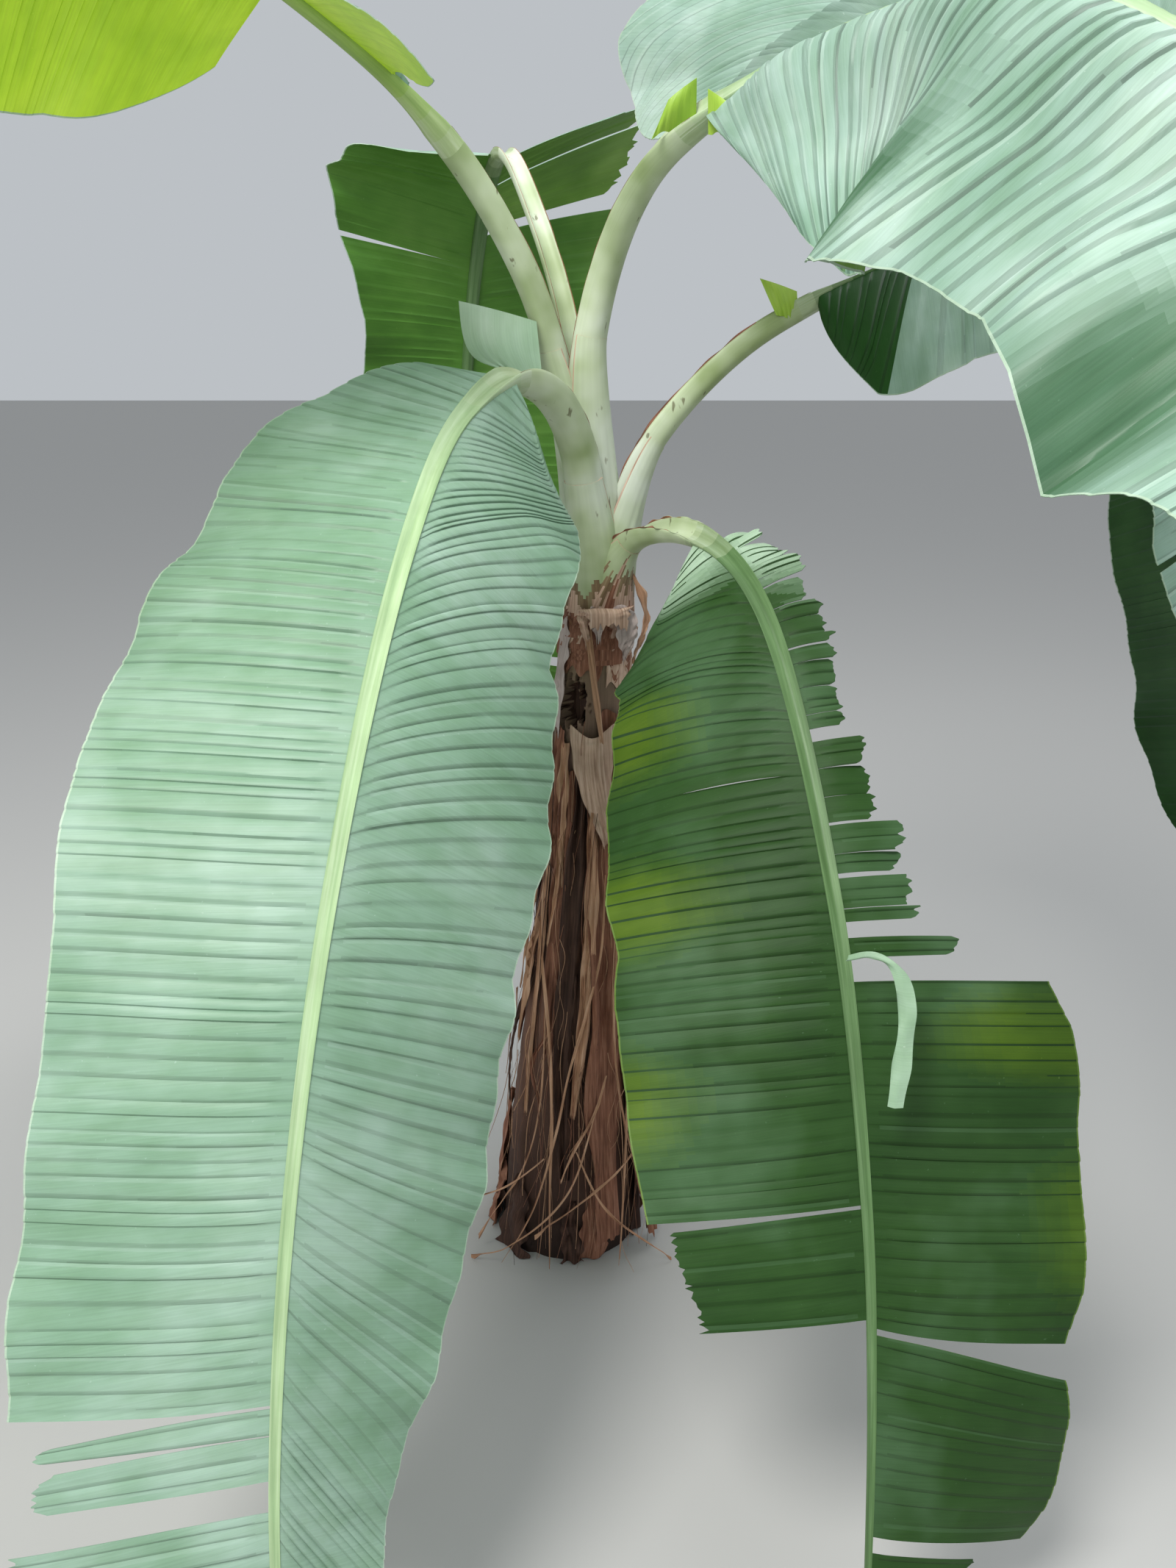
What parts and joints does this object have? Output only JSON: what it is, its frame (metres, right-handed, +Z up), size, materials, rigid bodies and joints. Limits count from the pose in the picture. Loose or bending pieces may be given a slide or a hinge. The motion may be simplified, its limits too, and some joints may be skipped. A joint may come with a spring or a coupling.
{
  "type": "banana plant",
  "caption": "Young banana plant with a leaning sheathed false stem, arching stalks, broad partly torn paddle leaves and dead brown leaves hanging down its stem.",
  "frame": {"origin": "middle of the flat cut under the false stem, at ground level", "axes": "+Z up; the plant's front, the side with the two large hanging leaves, faces -Y; +X is to the right seen from the front"},
  "size_m": [2.4391, 1.9084, 2.2481],
  "materials": {
    "stem": "matt, dried outer sheaths with fibres and dark scars",
    "stalk": "smooth with a powdery bloom and dry brown edges",
    "pale_leaf": "waxy satin, finely pleated across",
    "deep_leaf": "satin, finely pleated across",
    "lit_leaf": "satin yellow green, lit through",
    "dry_leaf": "matt, papery and crumpled"
  },
  "bodies": {
    "root": {"false_stem": "stem", "sheath_collar": "dry_leaf", "dead_leaf_front": "dry_leaf", "dead_leaf_front_left": "dry_leaf", "dead_leaf_front_right": "dry_leaf", "dead_leaf_right": "dry_leaf", "dead_leaf_back": "dry_leaf", "front_left_leaf_stalk": "stalk", "front_left_leaf_inner": "pale_leaf", "front_left_leaf_outer": "pale_leaf", "front_right_leaf_stalk": "stalk", "front_right_leaf_inner": "deep_leaf", "front_right_leaf_outer": "deep_leaf", "upper_left_leaf_stalk": "stalk", "upper_left_leaf_inner": "lit_leaf", "upper_left_leaf_outer": "lit_leaf", "upper_right_leaf_stalk": "stalk", "upper_right_leaf_inner": "pale_leaf", "upper_right_leaf_outer": "pale_leaf", "back_left_leaf_stalk": "stalk", "back_left_leaf_inner": "deep_leaf", "back_left_leaf_outer": "deep_leaf", "back_right_leaf_stalk": "stalk", "back_right_leaf_inner": "deep_leaf", "back_right_leaf_outer": "deep_leaf"}
  },
  "joints": []
}
